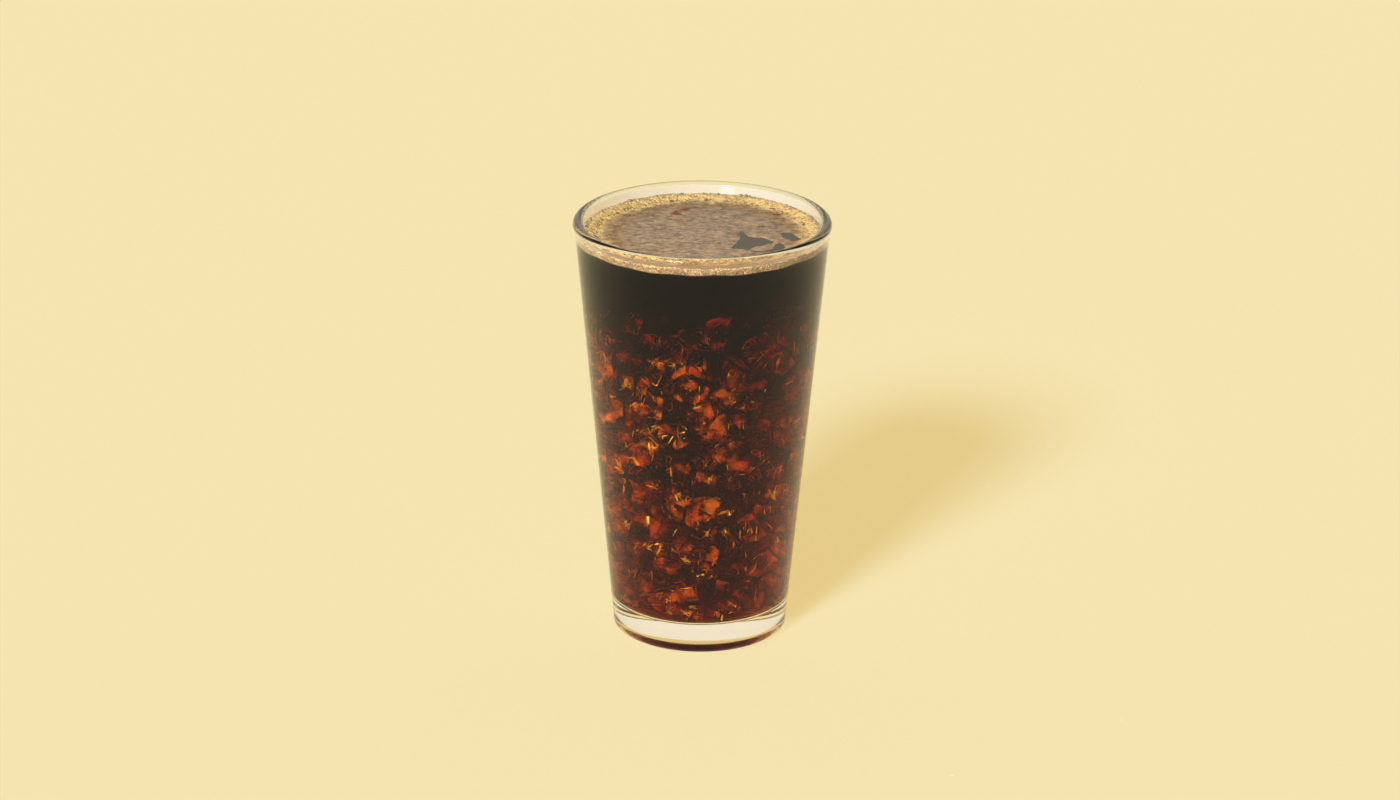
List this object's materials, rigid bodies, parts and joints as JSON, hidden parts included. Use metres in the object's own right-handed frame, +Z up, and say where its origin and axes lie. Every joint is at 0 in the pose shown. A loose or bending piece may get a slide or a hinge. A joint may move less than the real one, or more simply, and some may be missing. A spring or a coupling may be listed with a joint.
{
  "type": "glass of iced coffee",
  "caption": "Tapered pint glass filled with black iced coffee under a thin tan foam, standing on its thick clear base.",
  "frame": {"origin": "centre of the glass's foot, on the surface it stands on", "axes": "+Z up along the glass's axis; -Y towards the side the picture shows; +X to that side's right"},
  "size_m": [0.0888, 0.0888, 0.149],
  "materials": {
    "clear_glass": "smooth clear glass",
    "black_coffee": "clear dark liquid, wet and glossy",
    "tan_foam": "fine bubbly foam, softly wet"
  },
  "bodies": {
    "root": {"glass": "clear_glass", "coffee": "black_coffee", "foam": "tan_foam"}
  },
  "joints": []
}
